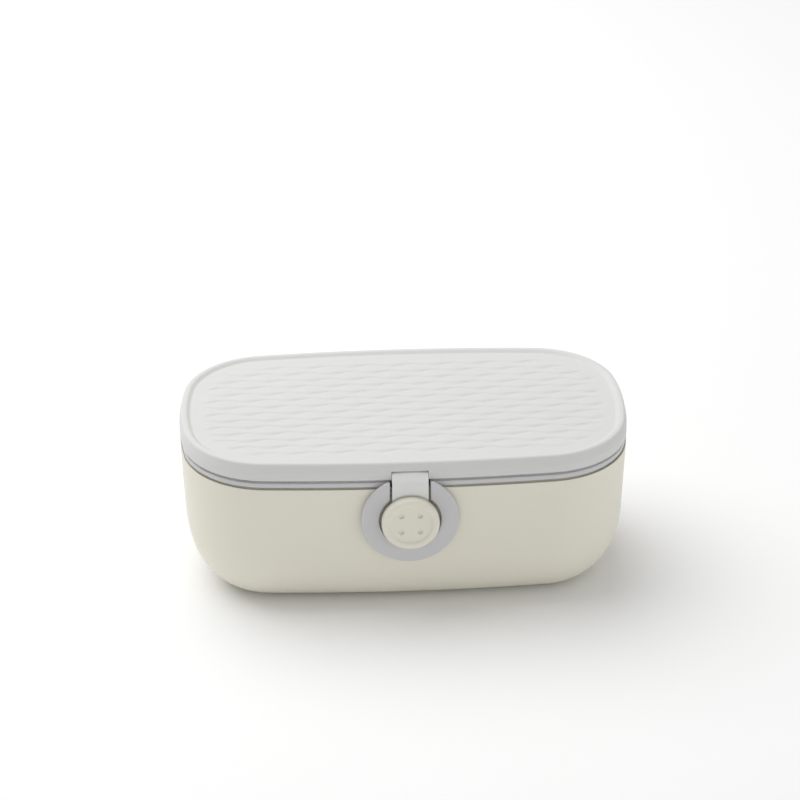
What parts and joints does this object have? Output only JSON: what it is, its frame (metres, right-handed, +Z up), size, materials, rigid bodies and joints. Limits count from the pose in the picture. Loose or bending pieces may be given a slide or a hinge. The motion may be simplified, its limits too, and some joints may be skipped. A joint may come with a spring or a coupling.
{
  "type": "sewing box",
  "caption": "Rounded plastic sewing box with a hinged lid, a strap clasp carrying a big four-hole button, and lift-out trays inside.",
  "frame": {"origin": "centre of the tub's flat underside, where the box rests", "axes": "+X to the right along the box, +Y to the back where the hinges are, +Z up; the clasp faces -Y"},
  "size_m": [0.155, 0.0946, 0.06],
  "materials": {
    "cream_plastic": "warm cream moulded plastic, fine satin grain",
    "pale_plastic": "light grey moulded plastic, satin",
    "grey_plastic": "mid grey moulded plastic, satin",
    "tray_plastic": "light grey moulded plastic, satin",
    "steel": "drawn steel wire"
  },
  "bodies": {
    "tub": {"body_shell": "cream_plastic", "rim_frame": "grey_plastic", "hinge_pin_left": "steel", "hinge_pin_right": "steel"},
    "lid": {"lid_shell": "pale_plastic", "clasp_pin": "steel"},
    "clasp": {"clasp_strap": "pale_plastic", "clasp_button": "cream_plastic"},
    "upper_tray": {"upper_tray": "tray_plastic"},
    "lower_tray": {"lower_tray": "tray_plastic"}
  },
  "joints": [
    {"name": "lid_hinge", "type": "hinge", "parent": "tub", "child": "lid", "pos_m": [0, 0.0445, 0.05323], "axis": [-1, 0, 0], "range_deg": [0, 105]},
    {"name": "clasp_swing", "type": "hinge", "parent": "lid", "child": "clasp", "pos_m": [0, -0.0412, 0.0546], "axis": [-1, 0, 0], "range_deg": [0, 50]},
    {"name": "upper_tray_lift", "type": "slide", "parent": "tub", "child": "upper_tray", "axis": [0, 0, 1], "range_m": [0, 0.002]},
    {"name": "lower_tray_lift", "type": "slide", "parent": "tub", "child": "lower_tray", "axis": [0, 0, 1], "range_m": [0, 0.002]}
  ]
}
